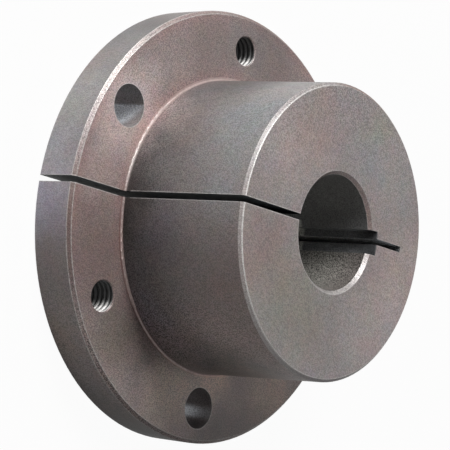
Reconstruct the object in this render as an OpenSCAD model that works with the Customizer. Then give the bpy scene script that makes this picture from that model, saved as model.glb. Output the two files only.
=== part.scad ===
// Split flanged bushing for clamping a hub or pulley on a keyed shaft.
// One turned iron casting: a flange, a tapered barrel, a keyed bore and a saw cut through one side.
// Screws through the plain holes draw the taper into its hub, which closes the cut on the shaft.
// Screws in the threaded holes push the two apart again.
// All sizes are in millimetres. The origin is on the bore's axis at the flange's back face,
// +Z points along the bore to the barrel's nose and +X points through the keyway.

/* [Flange] */
// Diameter of the flange
flange_d = 117.475; // [112:0.025:130]
// Thickness of the flange
flange_t = 12.3; // [8:0.1:20]
// Chamfer on the flange's front edge
flange_chamfer = 0.9; // [0.2:0.1:2]
// Small edge break on the flange's back edge
back_break = 0.3; // [0.1:0.1:1]

/* [Barrel] */
// Overall length, with the flange
length = 50.8; // [35:0.1:80]
// Diameter of the barrel where it leaves the flange
barrel_d = 79.8; // [70:0.1:84]
// Length over which the barrel's diameter shrinks by one millimetre
taper_run = 16; // [10:0.5:40]
// Chamfer on the barrel's nose
nose_chamfer = 0.8; // [0.2:0.1:2]
// Radius of the fillet between barrel and flange
fillet_r = 0.6; // [0.3:0.1:2]

/* [Bore] */
// Diameter of the bore
bore_d = 30.1625; // [20:0.0125:42]
// Chamfer at both ends of the bore
bore_chamfer = 0.9; // [0.3:0.1:2]
// Width of the keyway
key_w = 6.35; // [3:0.05:10]
// Depth of the keyway, measured at its side
key_depth = 3.175; // [1.5:0.025:5]

/* [Screw holes] */
// Distance from the flange's edge to the centres of the screw holes
hole_edge = 9.525; // [8:0.025:11]
// How many holes of each kind, plain and threaded
hole_count = 3; // [2:1:4]
// Diameter of a plain hole that a screw passes through
plain_hole_d = 11.1125; // [8:0.0125:13]
// Largest diameter of the thread in a threaded hole
thread_d = 9.525; // [6:0.025:12]

/* [Saw cut] */
// Width of the saw cut
cut_w = 1.6; // [1:0.1:3]
// Distance of the saw cut's middle plane from the bore's axis
cut_offset = 1; // [0:0.1:2]
// Angle between the saw cut and the keyway
cut_turn = 1.6; // [0:0.1:4]
// Wall left uncut between the saw cut's blind end and the outside of the nose
web_t = 9.4; // [5:0.1:12]

/* [Hidden] */
$fn = 180;

flange_r = flange_d / 2;
barrel_r = barrel_d / 2;
bore_r = bore_d / 2;
bolt_circle_r = flange_r - hole_edge;

// Radius lost for each millimetre of barrel, and the radius that is left at the nose
taper = 1 / (2 * taper_run);
nose_r = barrel_r - (length - flange_t) * taper;

// Centre of the fillet's arc and the point where the arc meets the tapered barrel
taper_len = sqrt(1 + taper * taper);
fillet_x = barrel_r + fillet_r * (taper_len - taper);
fillet_z = flange_t + fillet_r;
fillet_end = [fillet_x - fillet_r / taper_len, fillet_z - fillet_r * taper / taper_len];

// Distance from the axis to the keyway's floor
key_floor = sqrt(bore_r * bore_r - key_w * key_w / 4) + key_depth;

// Plain and threaded holes alternate, and the keyway points midway between two of them
hole_step = 360 / hole_count;
plain_angle = hole_step / 4;
thread_angle = plain_angle + hole_step / 2;

// How far a cutter runs past the face that it cuts
over = 1;

// Half of the turned blank's section, from the bore's wall outwards
module blank_section() {
    polygon([
        [bore_r + bore_chamfer, 0],
        [flange_r - back_break, 0],
        [flange_r, back_break],
        [flange_r, flange_t - flange_chamfer],
        [flange_r - flange_chamfer, flange_t],
        [barrel_r, flange_t],
        [nose_r + nose_chamfer * taper, length - nose_chamfer],
        [nose_r - nose_chamfer, length],
        [bore_r + bore_chamfer, length],
        [bore_r, length - bore_chamfer],
        [bore_r, bore_chamfer]
    ]);
}

// Section of the fillet in the corner between barrel and flange
module fillet_section() {
    difference() {
        polygon([
            [barrel_r - fillet_r, flange_t - fillet_r],
            [fillet_x, flange_t - fillet_r],
            [fillet_x, flange_t],
            fillet_end,
            [barrel_r - fillet_r, fillet_end[1]]
        ]);
        translate([fillet_x, fillet_z]) circle(fillet_r);
    }
}

// Flange and barrel as they come off the lathe
module turned_blank() {
    rotate_extrude() {
        blank_section();
        fillet_section();
    }
}

// Slot for the key, along the whole bore
module keyway() {
    translate([0, -key_w / 2, -over]) cube([key_floor, key_w, length + 2 * over]);
}

// Saw cut from outside the flange, through the bore, to its blind end behind the keyway
module saw_cut() {
    start = flange_r + over;
    reach = start + nose_r - web_t;
    rotate([0, 0, -cut_turn])
        translate([-start, cut_offset - cut_w / 2, -over])
        cube([reach, cut_w, length + 2 * over]);
}

// One plain hole through the flange
module plain_hole() {
    translate([0, 0, -over]) cylinder(h = flange_t + 2 * over, d = plain_hole_d);
}

// One threaded hole through the flange, at the thread's largest diameter
module threaded_hole() {
    translate([0, 0, -over]) cylinder(h = flange_t + 2 * over, d = thread_d);
}

// Children repeated around the bolt circle
module on_bolt_circle(first_angle) {
    for (i = [0 : hole_count - 1])
        rotate([0, 0, first_angle + i * hole_step])
        translate([bolt_circle_r, 0, 0])
        children();
}

// The finished bushing
module bushing() {
    color("dimgray")
    difference() {
        turned_blank();
        keyway();
        saw_cut();
        on_bolt_circle(plain_angle) plain_hole();
        on_bolt_circle(thread_angle) threaded_hole();
    }
}

bushing();
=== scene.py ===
import math

import bpy
from mathutils import Matrix, Vector


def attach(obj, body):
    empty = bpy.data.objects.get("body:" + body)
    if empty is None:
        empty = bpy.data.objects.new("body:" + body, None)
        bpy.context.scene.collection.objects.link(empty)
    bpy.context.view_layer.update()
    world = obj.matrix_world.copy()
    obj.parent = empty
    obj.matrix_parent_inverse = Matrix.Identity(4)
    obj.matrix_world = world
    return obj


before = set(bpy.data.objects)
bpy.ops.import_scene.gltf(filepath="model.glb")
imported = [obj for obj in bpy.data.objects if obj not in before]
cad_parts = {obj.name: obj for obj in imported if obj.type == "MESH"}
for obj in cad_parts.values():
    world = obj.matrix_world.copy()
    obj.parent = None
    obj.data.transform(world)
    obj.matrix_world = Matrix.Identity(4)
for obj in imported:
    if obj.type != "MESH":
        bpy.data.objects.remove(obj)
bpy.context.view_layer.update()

MM = 0.001

# Sizes that the solids have too
FLANGE_R = 58.7375 * MM
FLANGE_T = 12.3 * MM
LENGTH = 50.8 * MM
BORE_R = 15.08125 * MM
HOLE_EDGE = 9.525 * MM
BOLT_CIRCLE_R = FLANGE_R - HOLE_EDGE
THREADED_HOLE_ANGLES = (90, 210, 330)
THREAD_R = 4.7625 * MM
PLAIN_HOLE_ANGLES = (30, 150, 270)
PLAIN_HOLE_R = 5.55625 * MM

# The thread, sixteen turns to the inch, in a hole drilled five sixteenths of an inch
THREAD_PITCH = 25.4 / 16 * MM
DRILLED_R = 25.4 * 5 / 32 * MM
THREAD_CHAMFER = 0.3 * MM

# The keyway and the saw cut, whose walls get painted shade and painted light, and less gloss
KEYWAY_HALF_WIDTH = 3.175 * MM
KEYWAY_REACH = 18.4 * MM
CUT_HALF_WIDTH = 0.8 * MM
CUT_OFFSET = 1.0 * MM
CUT_TURN = 1.6
CUT_END = 29.3 * MM

# Radii between which one surface gives way to the next
BORE_TO_NOSE = (18 * MM, 20 * MM)
BARREL_TO_FLANGE = (44 * MM, 46 * MM)
FLANGE_TO_RIM = (56 * MM, 57 * MM)
FLANGE_FACE_MIDDLE_R = 49.4 * MM

# Camera, seen from the point that it looks at
TARGET = Vector((-6.06, -0.05, 18.25)) * MM
CAMERA_AZIMUTH = -171.96
CAMERA_ELEVATION = 40.13
CAMERA_ROLL = -92.33
CAMERA_DISTANCE = 478.6 * MM
CAMERA_LENS = 143.3

# Iron colours
GREY_IRON = (0.250, 0.240, 0.238, 1)
BROWN_IRON = (0.240, 0.183, 0.173, 1)
# bare iron for worn edges, also a painted highlight on the edges, the nose's line and the fillet
BARE_AND_HIGHLIT_IRON = (0.62, 0.60, 0.58, 1)
# painted highlight on the chamfers
CHAMFER_HIGHLIGHT_IRON = (0.46, 0.45, 0.44, 1)
BORE_FLOOR_IRON = (0.235, 0.226, 0.205, 1)
BORE_MOUTH_IRON = (0.155, 0.138, 0.128, 1)
BORE_ROOF_IRON = (0.30, 0.30, 0.30, 1)
# painted light for a strip deep in the bore
BORE_DEEP_PAINTED_LIGHT = (0.75, 0.75, 0.71, 1)
# Walls of the saw cut and the keyway: painted shade at their mouths, painted light deep inside
CUT_IRON = (0.16, 0.17, 0.175, 1)
CUT_END_MOUTH_PAINTED_LIGHT = (0.42, 0.43, 0.44, 1)
CUT_END_DEEP_PAINTED_LIGHT = (0.95, 0.95, 0.95, 1)
KEYWAY_MOUTH_PAINTED_SHADE = (0.07, 0.072, 0.075, 1)
KEYWAY_DEEP_PAINTED_LIGHT = (0.24, 0.245, 0.25, 1)
# painted light on the plain holes' walls
DRILLED_WALL_PAINTED_LIGHT = (0.82, 0.85, 0.90, 1)
# threads' crests: painted light low down and painted shade higher up; their grooves are dark
PAINTED_LIT_CREST = (0.80, 0.78, 0.76, 1)
PAINTED_SHADED_CREST = (0.10, 0.10, 0.10, 1)
GROOVE_DARK = (0.03, 0.03, 0.03, 1)

# Floor and surroundings
PALE_FLOOR = (0.60, 0.59, 0.58, 1)
WHITE = (1, 1, 1, 1)

# Finish of the plain surfaces
SATIN_METALLIC = 0.12
SATIN_ROUGHNESS = 0.36
GRAIN_ROUGHNESS = 0.1
SATIN_BUMP = 0.025 * MM

# Tints of the stained patches and the painted light and shade, the chamfers, the fillet and the reddened
# places; on the chamfers and the fillet some are painted highlight and shade
PLAIN = (1.0, 1.0, 1.0)
COOL = (0.95, 1.02, 1.06)
VIOLET = (0.95, 0.99, 1.09)
ROSE = (1.05, 0.98, 0.96)
OCHRE = (1.03, 1.00, 0.90)
OLIVE = (0.97, 1.02, 0.94)
# painted shade on the flange's chamfer low down and on the bore's chamfer high up
CHAMFER_SHADE_TINT = (0.52, 0.45, 0.44, 1)
BORE_CHAMFER_SHADE_TINT = (0.86, 0.76, 0.73, 1)
FAR_CHAMFER_TINT = (0.74, 0.58, 0.53, 1)
# the fillet's painted highlight high up and painted shade low down
FILLET_HIGHLIGHT_TINT = (1.12, 0.92, 0.88, 1)
FILLET_SHADE_TINT = (0.86, 0.74, 0.72, 1)
RED_TINT = (1.06, 0.96, 0.96, 1)

# How far the outlines of the stained patches and the painted light and shade wander, in millimetres
STAIN_AND_LIGHT_WANDER = 12

# Stained patches and patches of painted light and shade: place and radius in millimetres, brightness, tint.
# Their brightness, from 0.26 to 1.95, is partly the iron's colour and partly painted light and shade.
FACE_STAINS_AND_PAINTED_LIGHT = (
    # flange
    ((10, 52, 12), 24, 0.66, PLAIN),
    ((-14, 47, 12), 16, 0.76, PLAIN),
    # painted light: the flange face's upper left brightened
    ((-43, 24, 12), 18, 1.95, PLAIN),
    ((-49, 8, 12), 14, 1.4, PLAIN),
    ((-30, 36, 12), 9, 1.1, PLAIN),
    ((-46, -16, 12), 18, 0.78, ROSE),
    ((-34, -34, 12), 14, 0.82, OLIVE),
    # painted light: the flange face brightened low down, in the barrel's shadow
    ((-14, -45, 12), 15, 1.85, OCHRE),
    ((4, -42, 12), 10, 1.6, OCHRE),
    ((30, -43, 12), 15, 1.5, OCHRE),
    ((0, -43, 12), 13, 1.32, PLAIN),
    ((15, -53, 12), 9, 0.8, PLAIN),
    ((-36, -30, 12), 16, 0.88, PLAIN),
    ((38, -38, 12), 11, 1.25, PLAIN),
    # painted shade: the flange face darkened along its bottom edge
    ((12, -57, 12), 16, 0.6, PLAIN),
    ((26, -53, 12), 12, 0.62, PLAIN),
    ((6, -58, 12), 9, 0.62, PLAIN),
    # nose
    ((20, 22, 51), 18, 1.1, PLAIN),
    ((22, -24, 51), 20, 1.24, PLAIN),
    ((-28, 16, 51), 14, 1.1, PLAIN),
    ((-10, 16, 51), 9, 1.12, PLAIN),
    ((-24, 18, 51), 15, 1.16, ROSE),
    ((-12, 28, 51), 15, 1.03, ROSE),
    ((12, 30, 51), 9, 1.0, OLIVE),
    ((12, 20, 51), 10, 0.97, COOL),
    ((-14, -20, 51), 20, 0.9, OLIVE),
    ((-30, -8, 51), 14, 0.88, ROSE),
    ((33, -8, 51), 19, 1.25, ROSE),
    ((-24, -10, 51), 15, 0.94, ROSE),
    ((0, -25, 51), 14, 0.94, PLAIN),
)
SIDE_STAINS_AND_PAINTED_LIGHT = (
    # flange rim
    ((-36, 49, 2), 20, 0.72, PLAIN),
    ((-28, 52, 8), 18, 0.76, PLAIN),
    # painted light: the rim brightened and cooled towards -x
    ((-54, 24, 4), 15, 1.3, PLAIN),
    ((-60, 2, 4), 19, 1.6, VIOLET),
    ((-60, -6, 4), 16, 1.0, VIOLET),
    ((-54, -24, 4), 12, 0.9, PLAIN),
    ((-47, -37, 4), 10, 1.0, OCHRE),
    # painted shade: the rim darkened low down
    ((-18, -62, 4), 28, 0.32, OCHRE),
    ((-8, -60, 4), 20, 0.26, PLAIN),
    # barrel
    ((-39, -2, 34), 26, 0.86, PLAIN),
    # painted shade: the barrel darkened at its root, next to the flange
    ((-42, 2, 11), 16, 0.36, PLAIN),
    ((-38, -12, 16), 13, 0.70, COOL),
    ((-40, -6, 13), 9, 0.52, OLIVE),
    ((-34, -22, 12), 14, 1.0, COOL),
    ((-30, -24, 22), 13, 0.92, COOL),
    ((-36, 14, 31), 10, 0.92, PLAIN),
    ((-5, -38, 40), 10, 0.88, ROSE),
    ((-36, 16, 12), 8, 1.25, PLAIN),
    ((-30, -25, 47), 12, 1.0, ROSE),
    ((-31, 26, 15), 11, 1.5, ROSE),
    ((-29, 30, 12), 9, 1.2, PLAIN),
    ((-38, 10, 20), 12, 0.88, PLAIN),
    ((-24, 31, 31), 10, 0.88, PLAIN),
    ((-34, 22, 24), 14, 0.85, ROSE),
    ((-14, 37, 26), 18, 0.72, PLAIN),
    ((-32, 25, 42), 15, 0.92, COOL),
    ((-37, 4, 44), 10, 1.12, COOL),
    ((-27, -30, 12), 16, 1.3, VIOLET),
    ((-27, -28, 32), 14, 1.1, PLAIN),
    ((-34, -19, 42), 7, 1.0, ROSE),
    ((-39, -8, 25), 12, 0.84, VIOLET),
    ((-23, -31, 40), 10, 1.16, ROSE),
    ((-15, -36, 22), 10, 1.18, VIOLET),
    ((-15, -36, 49), 9, 1.14, ROSE),
    # painted shade: the barrel darkened low down
    ((-8, -38, 30), 22, 0.52, OCHRE),
)


def direction(azimuth, elevation):
    """Unit vector towards a place in the sky, in degrees from +X and up from the floor."""
    a, e = math.radians(azimuth), math.radians(elevation)
    return Vector((math.cos(e) * math.cos(a), math.cos(e) * math.sin(a), math.sin(e)))


def make_camera():
    """The photograph's camera: it lies on its side, so that the bushing's axis points to the right."""
    back = direction(CAMERA_AZIMUTH, CAMERA_ELEVATION)
    level_right = Vector((0, 0, 1)).cross(back).normalized()
    level_up = back.cross(level_right)
    turn = math.radians(CAMERA_ROLL)
    up = level_up * math.cos(turn) + level_right * math.sin(turn)
    right = up.cross(back)
    camera = bpy.data.objects.new("camera", bpy.data.cameras.new("camera"))
    camera.data.lens = CAMERA_LENS
    camera.data.clip_start = 1 * MM
    pose = Matrix((right, up, back)).transposed().to_4x4()
    pose.translation = TARGET + back * CAMERA_DISTANCE
    camera.matrix_world = pose
    bpy.context.scene.collection.objects.link(camera)
    bpy.context.scene.camera = camera


class Tree:
    """Short names for the shader nodes that the materials are made of."""

    def __init__(self, owner):
        owner.use_nodes = True
        self.tree = owner.node_tree
        self.tree.nodes.clear()

    def add(self, kind, inputs=None, out=0, **settings):
        """One node; an input is a value or another node's output. Gives back its output."""
        node = self.tree.nodes.new("ShaderNode" + kind)
        for key, value in settings.items():
            setattr(node, key, value)
        for key, value in (inputs or {}).items():
            if isinstance(value, bpy.types.NodeSocket):
                self.tree.links.new(value, node.inputs[key])
            else:
                node.inputs[key].default_value = value
        return node.outputs[out] if node.outputs else None

    def math(self, operation, a, b=0.0, c=0.0, clamp=False):
        return self.add("Math", {0: a, 1: b, 2: c}, operation=operation, use_clamp=clamp)

    def times(self, first, *others):
        """Product of several values."""
        for other in others:
            first = self.math("MULTIPLY", first, other)
        return first

    def times_plus(self, first, factor, plus):
        """The first value times a factor, plus another value."""
        return self.math("MULTIPLY_ADD", first, factor, plus)

    def rest(self, share):
        """What a share leaves of one."""
        return self.math("SUBTRACT", 1.0, share)

    def fade(self, value, start, end, low=0.0, high=1.0):
        """Smooth step from low to high as value goes from start to end."""
        return self.add("MapRange", {0: value, 1: start, 2: end, 3: low, 4: high},
                        interpolation_type="SMOOTHSTEP")

    def noise(self, place, size, detail=2.0, roughness=0.5, low=0.3, high=0.7, out=0):
        """Noise whose lumps are about as large as size, spread from 0 to 1."""
        lumps = self.add("TexNoise", {"Vector": place, "Scale": 1 / size, "Detail": detail,
                                      "Roughness": roughness}, out=out)
        return self.fade(lumps, low, high) if out == 0 else lumps

    def mix(self, factor, a, b, blend="MIX"):
        """Colour a with b laid over it."""
        return self.add("Mix", {0: factor, 6: a, 7: b}, out=2, data_type="RGBA", blend_type=blend)

    def tint(self, color, factor, tint):
        """Colour multiplied by a tint, as far as factor says."""
        return self.mix(factor, color, tint, blend="MULTIPLY")

    def scale(self, color, factor):
        """Colour times a number."""
        if isinstance(color, tuple):
            color = color[:3]
        return self.add("VectorMath", {0: color, "Scale": factor}, operation="SCALE")

    def distance(self, a, b):
        return self.add("VectorMath", {0: a, 1: b}, out="Value", operation="DISTANCE")


class Iron(Tree):
    """What the bushing's materials share: where a point lies, and the iron's colour there."""

    def __init__(self, material):
        super().__init__(material)
        self.place = self.add("TexCoord", out="Object")
        facing = self.add("TexCoord", out="Normal")
        self.x, self.y, self.z = (self.add("SeparateXYZ", {0: self.place}, out=i) for i in range(3))
        self.steep = self.math("ABSOLUTE", self.add("SeparateXYZ", {0: facing}, out=2))
        flat = self.add("CombineXYZ", {0: self.x, 1: self.y})
        self.radius = self.distance(flat, (0, 0, 0))
        self.hole_distance = self.nearest(flat, THREADED_HOLE_ANGLES)
        self.plain_hole_distance = self.nearest(flat, PLAIN_HOLE_ANGLES)
        self.find_textures()
        self.find_surfaces()
        self.find_hollows()

    def nearest(self, flat, angles):
        """Distance to the axis of the nearest of the screw holes at these angles."""
        distances = [self.distance(flat, hole_centre(angle)) for angle in angles]
        least = distances[0]
        for other in distances[1:]:
            least = self.math("MINIMUM", least, other)
        return least

    def find_textures(self):
        """Noises of four sizes, from clouds down to the grain."""
        self.clouds = self.noise(self.place, 22 * MM, detail=3.0, roughness=0.55)
        self.blotches = self.noise(self.place, 4 * MM, detail=3.0, roughness=0.6)
        self.specks = self.noise(self.place, 1.1 * MM, detail=2.0, roughness=0.6)
        self.grain = self.noise(self.place, 0.34 * MM, detail=1.0, roughness=0.8, low=0.35, high=0.65)

    def find_surfaces(self):
        """One on each kind of surface, and zero elsewhere."""
        self.is_face = self.fade(self.steep, 0.85, 0.98)
        self.is_side = self.fade(self.steep, 0.35, 0.15)
        self.is_slant = self.times(self.fade(self.steep, 0.35, 0.5), self.fade(self.steep, 0.95, 0.85))
        self.outside_bore = self.fade(self.radius, *BORE_TO_NOSE)
        self.outside_barrel = self.fade(self.radius, *BARREL_TO_FLANGE)
        self.at_rim = self.fade(self.radius, *FLANGE_TO_RIM)
        self.on_nose = self.times(self.fade(self.radius, 20 * MM, 22 * MM),
                                  self.fade(self.radius, 44 * MM, 42 * MM))
        self.nose_face = self.times(self.is_face, self.fade(self.z, 45 * MM, 46 * MM))
        self.on_barrel = self.times(self.is_side, self.fade(self.radius, 38 * MM, 38.5 * MM),
                                    self.fade(self.radius, 42 * MM, 41 * MM))
        self.fillet = self.times(
            self.fade(self.radius, 39.6 * MM, 39.7 * MM), self.fade(self.radius, 40.9 * MM, 40.7 * MM),
            self.fade(self.z, 13.1 * MM, 13.0 * MM), self.fade(self.z, 12.2 * MM, 12.25 * MM))
        self.upper_half = self.fade(self.y, -2 * MM, 2 * MM)
        self.keyway_side = self.fade(self.x, -12 * MM, 2 * MM)
        self.other_side = self.rest(self.keyway_side)
        self.far_side = self.times(self.keyway_side, self.fade(self.y, -20 * MM, 0))

    def find_hollows(self):
        """One on the walls of each kind of hollow, and zero elsewhere."""
        self.in_bore = self.fade(self.radius, BORE_R + 0.1 * MM, BORE_R + 0.02 * MM)
        self.in_cut = self.inside_cut()
        self.in_keyway = self.inside_keyway()
        self.sheltered = self.math("MAXIMUM", self.in_cut, self.in_keyway)
        self.drilled_half, self.lowest_hole, self.hole_light_streak = self.drilled()

    def inside_cut(self):
        """One on the walls of the saw cut."""
        turn = math.radians(CUT_TURN)
        across = self.times_plus(self.x, math.sin(turn), self.times(self.y, math.cos(turn)))
        off = self.math("ABSOLUTE", self.math("SUBTRACT", across, CUT_OFFSET))
        near = self.fade(off, CUT_HALF_WIDTH + 0.06 * MM, CUT_HALF_WIDTH + 0.02 * MM)
        return self.times(near, self.is_side, self.fade(self.x, CUT_END + 0.1 * MM, CUT_END))

    def inside_keyway(self):
        """One on the walls and the floor of the keyway."""
        off = self.math("ABSOLUTE", self.y)
        narrow = self.fade(off, KEYWAY_HALF_WIDTH + 0.06 * MM, KEYWAY_HALF_WIDTH + 0.02 * MM)
        deep = self.fade(self.radius, BORE_R + 0.02 * MM, BORE_R + 0.1 * MM)
        reach = self.fade(self.radius, KEYWAY_REACH + 0.1 * MM, KEYWAY_REACH)
        return self.times(narrow, deep, reach, self.fade(self.x, 0, 1 * MM))

    def drilled(self):
        """Three parts of the plain holes' walls: the lower half of the upper two holes, which gets painted
        light, the whole wall of the lowest hole, and the painted streak of light along it, which is
        brightest far inside."""
        is_upper = self.math("GREATER_THAN", self.y, 0.0)
        hole_y = self.times_plus(is_upper, 1.5 * BOLT_CIRCLE_R, -BOLT_CIRCLE_R)
        across = self.math("SUBTRACT", self.y, hole_y)
        depth = self.math("SUBTRACT", FLANGE_T, self.z)
        level = self.times_plus(depth, -0.03, across)
        wall = self.times(self.is_side, self.fade(
            self.plain_hole_distance, PLAIN_HOLE_R + 0.08 * MM, PLAIN_HOLE_R + 0.03 * MM))
        half = self.times(wall, is_upper, self.fade(level, 1.7 * MM, 0.9 * MM),
                          self.fade(self.times_plus(across, 1.1, depth), -1 * MM, 4 * MM))
        lowest = self.times(wall, self.rest(is_upper))
        streak = self.times(lowest, self.fade(level, 1.4 * MM, -0.8 * MM),
                            self.fade(level, -3.6 * MM, -1.8 * MM),
                            self.fade(depth, 0.0, 9 * MM, 0.3, 1.0))
        return half, lowest, streak

    def edges_worn_and_highlit(self):
        """Edges made light, partly worn bare and partly a painted highlight, but none in hollows, at the
        fillet or where a thread's sleeve ends.
        """
        rounded = self.add("Bevel", {"Radius": 0.5 * MM}, samples=8)
        true_normal = self.add("NewGeometry", out="Normal")
        edge = self.rest(self.add("VectorMath", {0: rounded, 1: true_normal},
                                  out="Value", operation="DOT_PRODUCT"))
        by_fillet = self.times(
            self.fade(self.radius, 39.0 * MM, 39.2 * MM), self.fade(self.radius, 42.2 * MM, 42.0 * MM),
            self.fade(self.z, 14.4 * MM, 14.2 * MM), self.fade(self.z, 11.8 * MM, 12.0 * MM))
        clear_of_sleeves = self.fade(self.hole_distance, THREAD_R + 0.8 * MM, THREAD_R + 0.9 * MM)
        inside = self.math("MAXIMUM", self.sheltered, self.in_bore)
        barrel_end = self.times(self.on_nose, self.fade(self.z, 49 * MM, 49.5 * MM),
                                self.fade(self.z, 50.5 * MM, 50.3 * MM))
        return self.times(self.fade(edge, 0.003, 0.04), self.times_plus(self.specks, 0.4, 0.4),
                          clear_of_sleeves, self.rest(by_fillet), self.rest(inside),
                          self.times_plus(barrel_end, -0.7, 1.0), self.times_plus(self.far_side, -0.7, 1.0))

    def color(self):
        """The iron's colour with its painted light and shade, from its stained ground to the walls of its
        hollows.
        """
        color = self.mix(self.in_bore, self.ground(), self.bore_wall())
        color = self.reddened(color)
        color = self.chamfered(color)
        color = self.filleted(color)
        color = self.hollowed(color)
        return self.scale(color, self.tone())

    def ground(self):
        """Brown and grey by turns, browner and darker low on the sides as painted shade, with stained
        patches and patches of painted light and shade.
        """
        faces = self.fade(self.z, FLANGE_T, LENGTH, 0.72, 0.28)
        # On the sides the colour turns browner and darker towards -y, the side away from the key lamp:
        # painted shade
        sides = self.fade(self.y, 25 * MM, -30 * MM, 0.0, 0.55)
        brown = self.math("ADD", self.times(faces, self.rest(self.is_side)),
                          self.times(sides, self.is_side, self.outside_bore))
        brown = self.times_plus(self.clouds, 0.45, brown)
        brown = self.times_plus(self.blotches, 0.25, brown)
        brown = self.math("SUBTRACT", brown, 0.22, clamp=True)
        color = self.mix(brown, GREY_IRON, BROWN_IRON)
        color = self.paint_stains_and_light(color, FACE_STAINS_AND_PAINTED_LIGHT, self.is_face)
        color = self.paint_stains_and_light(color, SIDE_STAINS_AND_PAINTED_LIGHT, self.times(self.is_side, self.outside_bore))
        color = self.mottle(color, 5 * MM, 0.07, detail=3.0)
        return self.mottle(color, 0.8 * MM, 0.08)

    def paint_stains_and_light(self, color, stains_and_light, surface):
        """Soft ragged stained patches and patches of painted light and shade, each in its own place on one
        kind of surface.
        """
        wobble = self.noise(self.place, 9 * MM, detail=3.0, out=1)
        ragged = self.add("VectorMath", {0: wobble, 1: (STAIN_AND_LIGHT_WANDER * MM,) * 3, 2: self.place},
                          operation="MULTIPLY_ADD")
        for centre, size, brightness, tint in stains_and_light:
            middle = (Vector(centre) + Vector((STAIN_AND_LIGHT_WANDER / 2,) * 3)) * MM
            near = self.fade(self.distance(ragged, middle), size * MM, 0.2 * size * MM)
            color = self.tint(color, self.times(near, surface), (*(brightness * c for c in tint), 1))
        return color

    def mottle(self, color, size, amount, detail=2.0):
        """Colour whose red, green and blue each wander a little by themselves."""
        hues = self.noise(self.place, size, detail=detail, out=1)
        spread = self.add("VectorMath", {0: hues, 1: (2 * amount,) * 3, 2: (1 - amount,) * 3},
                          operation="MULTIPLY_ADD")
        return self.add("VectorMath", {0: color, 1: spread}, operation="MULTIPLY")

    def bore_wall(self):
        """The bore's floor, browner towards its mouth, and its roof, darker towards the keyway."""
        outwards = self.fade(self.z, 38 * MM, 50 * MM)
        floor = self.mix(outwards, BORE_FLOOR_IRON, BORE_MOUTH_IRON)
        floor = self.scale(floor, self.times(self.fade(self.y, -3 * MM, -10 * MM, 0.66, 1.0),
                                             self.fade(self.y, -10 * MM, -14 * MM, 1.0, 0.86)))
        roof = self.scale(BORE_ROOF_IRON, self.fade(self.y, 3 * MM, 12 * MM, 0.86, 1.16))
        return self.mix(self.upper_half, floor, roof)

    def reddened(self, color):
        """Redder along the flange face's two edges and around the barrel's root."""
        off_middle = self.math("ABSOLUTE", self.math("SUBTRACT", self.radius, FLANGE_FACE_MIDDLE_R))
        face = self.times(self.is_face, self.fade(self.z, FLANGE_T + 1 * MM, FLANGE_T + 0.5 * MM),
                          self.fade(off_middle, 5 * MM, 8 * MM), self.fade(self.y, -40 * MM, 0.0))
        root = self.times(self.is_side, self.fade(self.radius, 38.5 * MM, 39 * MM),
                          self.fade(self.radius, 42 * MM, 41 * MM), self.fade(self.z, 18 * MM, 13 * MM),
                          self.fade(self.y, 0, 20 * MM))
        return self.tint(color, self.math("ADD", face, root), RED_TINT)

    def chamfered(self, color):
        """Chamfers: a painted highlight on the flange's on top and on the nose's and the bore's below, a
        light line on the nose's edge, painted shade on the flange's low down and on the bore's upper half,
        and darker and browner on the far side.
        """
        color = self.mix(self.chamfer_highlight(), color, CHAMFER_HIGHLIGHT_IRON)
        color = self.mix(self.nose_wear_and_highlight(), color, BARE_AND_HIGHLIT_IRON)
        flange = self.times(self.is_slant, self.outside_barrel, self.fade(self.y, 14 * MM, -12 * MM),
                            self.fade(self.y, -20 * MM, -34 * MM, 1.0, 0.2))
        color = self.tint(color, flange, CHAMFER_SHADE_TINT)
        outer = self.math("ADD", self.on_nose, self.at_rim)
        color = self.tint(color, self.times(self.is_slant, outer, self.far_side), FAR_CHAMFER_TINT)
        bore = self.times(self.is_slant, self.rest(self.outside_bore), self.fade(self.y, 0, 4 * MM))
        return self.tint(color, bore, BORE_CHAMFER_SHADE_TINT)

    def chamfer_highlight(self):
        """How strongly the chamfers get their painted highlight: the flange's on top, the nose's and the
        bore's below.
        """
        flange = self.times(self.outside_barrel, self.other_side,
                            self.fade(self.y, -4 * MM, 24 * MM, 0.0, 0.2),
                            self.fade(self.y, 54 * MM, 42 * MM))
        nose = self.times(self.on_nose, self.other_side, self.fade(self.y, 40 * MM, -8 * MM, 0.06, 0.22))
        bore = self.times(self.rest(self.outside_bore), self.fade(self.y, 2 * MM, -6 * MM, 0.0, 0.3))
        return self.times(self.is_slant, self.math("ADD", self.math("ADD", flange, nose), bore))

    def nose_wear_and_highlight(self):
        """The light line where the nose's chamfer meets its face, partly worn bare and partly a painted
        highlight.
        """
        return self.times(self.is_slant, self.on_nose, self.other_side,
                          self.fade(self.z, LENGTH - 0.28 * MM, LENGTH - 0.14 * MM),
                          self.fade(self.y, 44 * MM, 10 * MM, 0.3, 0.9),
                          self.fade(self.y, -42 * MM, -20 * MM, 0.3, 1.0))

    def filleted(self, color):
        """The fillet's tints: painted shade low down, browner and darker, and a painted highlight high up,
        redder and brighter.
        """
        color = self.tint(color, self.times(self.fillet, self.fade(self.y, 16 * MM, -6 * MM)),
                          FILLET_SHADE_TINT)
        return self.tint(color, self.times(self.fillet, self.fade(self.y, 8 * MM, 24 * MM)),
                         FILLET_HIGHLIGHT_TINT)

    def hollowed(self, color):
        """Walls of the plain holes, the saw cut and the keyway, and the strip deep in the bore, with their
        painted light and shade.
        """
        # painted light on the plain holes' walls: the lit lower halves of the upper two, a little over the
        # whole lowest one, and the streak in it
        color = self.mix(self.drilled_half, color, DRILLED_WALL_PAINTED_LIGHT)
        color = self.mix(self.times(self.lowest_hole, 0.12), color, DRILLED_WALL_PAINTED_LIGHT)
        color = self.mix(self.hole_light_streak, color, DRILLED_WALL_PAINTED_LIGHT)
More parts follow.
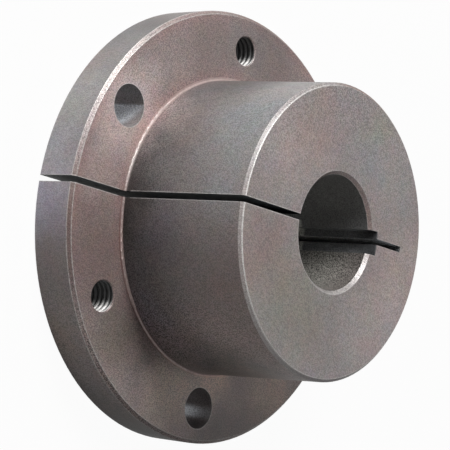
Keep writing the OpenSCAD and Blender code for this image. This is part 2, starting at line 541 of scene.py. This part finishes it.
        # The cut and the keyway: painted shade at their mouths and where the cut nears the bore, painted
        # light deep inside them and along the cut's far part, which is darker again on its end wall
        inwards = self.fade(self.z, LENGTH - 1 * MM, LENGTH - 9 * MM)
        cut_end = self.mix(inwards, CUT_END_MOUTH_PAINTED_LIGHT, CUT_END_DEEP_PAINTED_LIGHT)
        cut_end = self.scale(cut_end, self.fade(self.x, CUT_END - 0.5 * MM, CUT_END - 0.1 * MM, 1.0, 0.3))
        painted_shade_by_bore = self.scale(CUT_IRON, self.fade(self.x, -26 * MM, -17 * MM, 1.0, 0.25))
        cut = self.mix(self.fade(self.x, 14 * MM, 17 * MM), painted_shade_by_bore, cut_end)
        color = self.mix(self.in_cut, color, cut)
        keyway = self.mix(inwards, KEYWAY_MOUTH_PAINTED_SHADE, KEYWAY_DEEP_PAINTED_LIGHT)
        color = self.mix(self.in_keyway, color, keyway)
        return self.mix(self.painted_light_strip(), color, BORE_DEEP_PAINTED_LIGHT)

    def painted_light_strip(self):
        """The lighter strip deep in the bore, on the keyway's side: painted light."""
        height = self.times_plus(self.in_keyway, 1.4 * MM, self.z)
        return self.times(self.fade(height, 28.4 * MM, 27.4 * MM), self.is_side,
                          self.fade(self.radius, KEYWAY_REACH + 0.2 * MM, KEYWAY_REACH + 0.1 * MM),
                          self.fade(self.x, 0, 4 * MM), self.fade(self.y, 5.4 * MM, 4.6 * MM))

    def tone(self):
        """Brightness of the iron: painted shade towards the barrel's root, and grainy all over."""
        # painted shade: the barrel darker towards its root at the flange
        root_shade = self.fade(self.z, FLANGE_T - 4 * MM, LENGTH - 6 * MM, -0.44, 0.02)
        tone = self.times_plus(root_shade, self.on_barrel, self.times_plus(self.nose_face, 0.045, 0.88))
        tone = self.times_plus(self.clouds, 0.08, tone)
        tone = self.times_plus(self.blotches, 0.08, tone)
        tone = self.times_plus(self.specks, 0.12, tone)
        return self.times_plus(self.math("SUBTRACT", self.grain, 0.5), self.grain_depth(), tone)

    def grain_depth(self):
        """How strongly the grain shows: most on the bore's floor, least where a tool left it smooth."""
        high_up = self.fade(self.y, 12 * MM, 38 * MM, 0.56, 0.75)
        behind_nose = self.times(self.fade(self.z, LENGTH - 0.5 * MM, LENGTH - 2 * MM, -0.25, 1.0),
                                 self.times_plus(self.is_face, -0.7, 1.0))
        low_down = self.times(self.fade(self.y, -14 * MM, -42 * MM), behind_nose)
        on_rim = self.times(self.is_side, self.fade(self.radius, 58 * MM, 58.3 * MM, 0.0, 0.35))
        smoothed = self.math("MAXIMUM", self.fillet, self.lowest_hole)
        outside = self.times(self.math("ADD", high_up, low_down), self.rest(on_rim),
                             self.times_plus(smoothed, -0.6, 1.0))
        bore_floor = self.times(self.in_bore, self.fade(self.y, 2 * MM, -4 * MM))
        return self.math("ADD", outside, bore_floor)

    def shade(self, color, metallic, roughness, bump_depth):
        """Finishes the material: dull in the cut and the keyway, on sides and chamfers low down, on the
        bore's roof and where light only grazes it, uneven everywhere.
        """
        open_air = self.rest(self.sheltered)
        low_edges = self.times(self.math("ADD", self.is_side, self.is_slant),
                               self.fade(self.y, -30 * MM, -50 * MM))
        roof = self.times(self.in_bore, self.upper_half)
        grazing = self.fade(self.add("LayerWeight", {"Blend": 0.5}, out="Facing"), 0.72, 0.95)
        clean = self.times(open_air, self.rest(self.math("MAXIMUM", low_edges, roof)),
                           self.times_plus(grazing, -0.9, 1.0))
        cut_by_bore = self.times(self.in_cut, self.fade(self.x, -34 * MM, -24 * MM))
        gloss = self.times(self.times_plus(clean, 0.3, 0.2), self.rest(cut_by_bore))
        metallic = self.times(open_air, self.rest(self.times(low_edges, self.at_rim)), metallic)
        height = self.times_plus(self.specks, 0.8, self.times(self.grain, 0.8))
        uneven = {"Strength": 1.0, "Distance": bump_depth, "Height": height}
        shader = self.add("BsdfPrincipled", {
            "Base Color": color, "Metallic": metallic, "Roughness": roughness,
            "Specular IOR Level": gloss, "Normal": self.add("Bump", uneven)})
        self.add("OutputMaterial", {"Surface": shader})


def make_iron():
    """Machined iron: satin and finely grained, glossier on the flange's and the bore's chamfers,
    rougher on the nose's face, and light along its edges, partly worn bare and partly a painted highlight."""
    material = bpy.data.materials.new("machined_iron")
    t = Iron(material)
    # edges made light, partly worn bare and partly a painted highlight
    color = t.mix(t.edges_worn_and_highlit(), t.color(), BARE_AND_HIGHLIT_IRON)
    # painted highlight on the fillet's upper part
    fillet_highlight = t.times(t.fillet, t.fade(t.y, -8 * MM, 20 * MM), 0.25)
    color = t.mix(fillet_highlight, color, BARE_AND_HIGHLIT_IRON)

    glossy = t.times(t.is_slant, t.rest(t.on_nose), t.fade(t.y, -40 * MM, -20 * MM))
    metallic = t.times_plus(glossy, 0.16, SATIN_METALLIC)
    metallic = t.times_plus(t.fillet, 0.1, metallic)
    metallic = t.times_plus(t.hole_light_streak, 0.35, metallic)
    rough = t.times_plus(t.grain, GRAIN_ROUGHNESS, SATIN_ROUGHNESS)
    rough = t.times_plus(glossy, -0.06, rough)
    rough = t.times_plus(t.fillet, -0.08, rough)
    rough = t.times_plus(t.nose_face, 0.22, rough)
    t.shade(color, metallic, rough, SATIN_BUMP)
    return material


def make_sleeve_iron():
    """The same iron for the rings around the threads, which lie in the flange's faces."""
    material = bpy.data.materials.new("sleeve_iron")
    t = Iron(material)
    rough = t.times_plus(t.grain, GRAIN_ROUGHNESS, SATIN_ROUGHNESS)
    t.shade(t.color(), SATIN_METALLIC, rough, SATIN_BUMP)
    return material


def make_thread_metal():
    """Cut iron on the threads: crests with painted light low down and painted shade higher up, and dark in
    their grooves.
    """
    material = bpy.data.materials.new("cut_iron")
    t = Iron(material)
    is_upper = t.math("GREATER_THAN", t.y, 0.0)
    hole_y = t.times_plus(is_upper, 1.5 * BOLT_CIRCLE_R, -0.5 * BOLT_CIRCLE_R)
    # painted shade on the crests' upper side, painted light below it
    shaded_side = t.fade(t.math("SUBTRACT", t.y, hole_y), -2.6 * MM, -0.5 * MM)
    groove = t.fade(t.hole_distance, DRILLED_R + 0.12 * MM, DRILLED_R + 0.5 * MM)
    color = t.mix(groove, t.mix(shaded_side, PAINTED_LIT_CREST, PAINTED_SHADED_CREST), GROOVE_DARK)
    color = t.scale(color, t.times_plus(t.grain, 0.3, 0.75))
    t.shade(color, 0.1, t.times_plus(t.grain, GRAIN_ROUGHNESS, 0.4), 0.01 * MM)
    return material


def make_floor():
    """Plain pale floor, white where it is seen, with part of its real shading kept for the shadow."""
    floor_size = 4.0
    floor_drop = 0.05 * MM
    whitened_for_camera = 0.96
    whitened_for_gloss = 0.4
    bpy.ops.mesh.primitive_plane_add(size=floor_size, location=(0, 0, -floor_drop))
    floor = bpy.context.object
    floor.name = "floor"
    material = bpy.data.materials.new("pale_floor")
    t = Tree(material)
    matte = t.add("BsdfDiffuse", {"Color": PALE_FLOOR})
    white = t.add("Emission", {"Color": WHITE, "Strength": 1.0})
    by_camera = t.math("MAXIMUM", t.add("LightPath", out="Is Camera Ray"),
                       t.add("LightPath", out="Is Transmission Ray"))
    by_gloss = t.add("LightPath", out="Is Glossy Ray")
    whitened = t.math("MAXIMUM", t.times(by_camera, whitened_for_camera),
                   t.times(by_gloss, whitened_for_gloss))
    t.add("OutputMaterial", {"Surface": t.add("MixShader", {0: whitened, 1: matte, 2: white})})
    floor.data.materials.append(material)


def make_world(ambient):
    """White where it is seen, and a dim even light otherwise."""
    world = bpy.data.worlds.new("studio")
    bpy.context.scene.world = world
    t = Tree(world)
    white = t.add("Background", {"Color": WHITE, "Strength": 1.0})
    dim = t.add("Background", {"Color": WHITE, "Strength": ambient})
    seen = t.math("MAXIMUM", t.add("LightPath", out="Is Camera Ray"),
                  t.add("LightPath", out="Is Glossy Ray"))
    seen = t.math("MAXIMUM", seen, t.add("LightPath", out="Is Transmission Ray"))
    t.add("OutputWorld", {"Surface": t.add("MixShader", {0: seen, 1: dim, 2: white})})


def add_softbox(name, azimuth, elevation, distance, size, watts):
    """A rectangular lamp that faces the bushing."""
    lamp = bpy.data.lights.new(name, "AREA")
    lamp.shape = "RECTANGLE"
    lamp.size, lamp.size_y = size
    lamp.energy = watts
    box = bpy.data.objects.new(name, lamp)
    towards = direction(azimuth, elevation)
    box.location = TARGET + towards * distance
    box.rotation_euler = towards.to_track_quat("Z", "Y").to_euler()
    bpy.context.scene.collection.objects.link(box)


def hole_centre(angle):
    """Where the axis of a screw hole meets the flange's back."""
    a = math.radians(angle)
    return Vector((BOLT_CIRCLE_R * math.cos(a), BOLT_CIRCLE_R * math.sin(a), 0))


def thread_radius(turn, z, low, high):
    """Radius of a thread's inside: ridges that fade out into a small chamfer at both ends."""
    height = math.sqrt(3) / 2 * THREAD_PITCH
    sharp_r = THREAD_R - 7 / 8 * height
    root_r = THREAD_R - 0.05 * MM
    from_crest = abs((z / THREAD_PITCH - turn) % 1 - 0.5)
    ridge_r = min(max(sharp_r + from_crest * THREAD_PITCH * math.sqrt(3), DRILLED_R), root_r)
    depth = min(z - low, high - z)
    fade = min(max((depth - THREAD_CHAMFER) / (0.4 * THREAD_PITCH), 0), 1)
    return max(DRILLED_R + (ridge_r - DRILLED_R) * fade, DRILLED_R + THREAD_CHAMFER - depth)


def make_thread(name, angle, metal, iron):
    """Thread of one hole: a sleeve in the hole's wall that has the ridges on its inside."""
    sides = 96
    rows_per_pitch = 12
    recess = 0.01 * MM
    buried_r = THREAD_R + 0.08 * MM
    low, high = recess, FLANGE_T - recess
    rows = math.ceil((high - low) / THREAD_PITCH * rows_per_pitch)
    heights = [low + (high - low) * row / rows for row in range(rows + 1)]
    rings = [[(thread_radius(side / sides, z, low, high), z) for side in range(sides)] for z in heights]
    rings += [[(buried_r, z)] * sides for z in (high, low)]
    centre = hole_centre(angle)
    points = []
    for ring in rings:
        for side, (r, z) in enumerate(ring):
            a = side / sides * math.tau
            points.append(centre + Vector((r * math.cos(a), r * math.sin(a), z)))
    faces = []
    for i in range(len(rings)):
        j = (i + 1) % len(rings)
        for side in range(sides):
            k = (side + 1) % sides
            faces.append((i * sides + side, i * sides + k, j * sides + k, j * sides + side))
    mesh = bpy.data.meshes.new(name)
    mesh.from_pydata(points, [], faces)
    mesh.materials.append(metal)
    mesh.materials.append(iron)
    for number, polygon in enumerate(mesh.polygons):
        height = polygon.center.z
        cut = low + THREAD_CHAMFER < height < high - THREAD_CHAMFER and number // sides < rows
        polygon.material_index = int(not cut)
        polygon.use_smooth = True
    mesh.set_sharp_from_angle(angle=math.radians(35))
    piece = bpy.data.objects.new(name, mesh)
    bpy.context.scene.collection.objects.link(piece)
    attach(piece, "root")


make_camera()
iron = make_iron()
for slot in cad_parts["bushing"].material_slots:
    slot.material = iron
metal, sleeve = make_thread_metal(), make_sleeve_iron()
for number, angle in enumerate(THREADED_HOLE_ANGLES, 1):
    make_thread(f"thread_{number}", angle, metal, sleeve)
make_floor()
make_world(ambient=0.06)
add_softbox("key", azimuth=111, elevation=36, distance=0.8, size=(0.3, 0.6), watts=8.4)
add_softbox("side", azimuth=155, elevation=8, distance=0.8, size=(0.35, 0.35), watts=0.3)

bpy.context.scene.view_settings.view_transform = "Standard"
